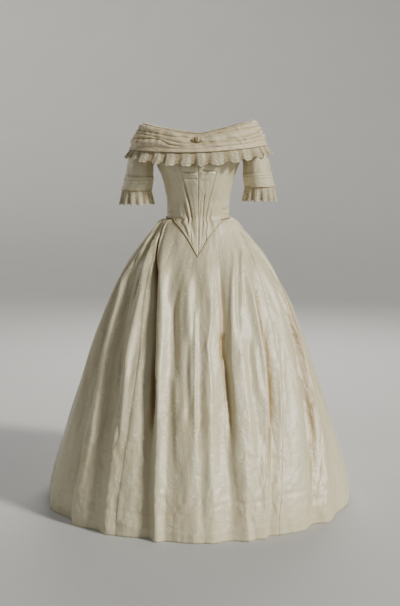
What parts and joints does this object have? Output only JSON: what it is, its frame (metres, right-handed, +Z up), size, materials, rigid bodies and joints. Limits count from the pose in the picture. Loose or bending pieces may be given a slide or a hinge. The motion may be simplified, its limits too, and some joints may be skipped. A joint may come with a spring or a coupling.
{
  "type": "wedding dress",
  "caption": "Off-the-shoulder ivory silk wedding dress with a draped bertha, short lace-cuffed sleeves, pointed bodice and full bell skirt, standing in its worn form.",
  "frame": {"origin": "centre of the waist, where the wearer's waist holds the dress up", "axes": "+Z up towards the neck, -Y towards the centre front, +X towards the right of the picture"},
  "size_m": [1.0491, 1.0743, 1.2943],
  "materials": {
    "silk_damask": "ivory silk damask with a soft lustre",
    "draped_silk": "plain ivory silk in soft folds",
    "lace": "warm ivory net lace",
    "silk_piping": "silk-covered cord"
  },
  "bodies": {
    "root": {"skirt_front": "silk_damask", "skirt_side_right": "silk_damask", "skirt_back_right": "silk_damask", "skirt_back": "silk_damask", "skirt_back_left": "silk_damask", "skirt_side_left": "silk_damask", "bodice_back_left": "silk_damask", "bodice_side_back_left": "silk_damask", "bodice_side_front_left": "silk_damask", "bodice_centre_front_left": "silk_damask", "bodice_centre_front_right": "silk_damask", "bodice_side_front_right": "silk_damask", "bodice_side_back_right": "silk_damask", "bodice_back_right": "silk_damask", "sleeve_right": "silk_damask", "sleeve_left": "silk_damask", "bertha_front_right": "draped_silk", "bertha_back_right": "draped_silk", "bertha_back_left": "draped_silk", "bertha_front_left": "draped_silk", "bertha_knot": "draped_silk", "cuff_band_right": "draped_silk", "cuff_band_left": "draped_silk", "ruffle_front_right": "lace", "ruffle_back_right": "lace", "ruffle_back_left": "lace", "ruffle_front_left": "lace", "cuff_lace_right": "lace", "cuff_lace_left": "lace", "waist_piping": "silk_piping", "bertha_piping": "silk_piping", "neck_binding": "silk_piping", "cuff_piping_right": "silk_piping", "cuff_piping_left": "silk_piping"}
  },
  "joints": []
}
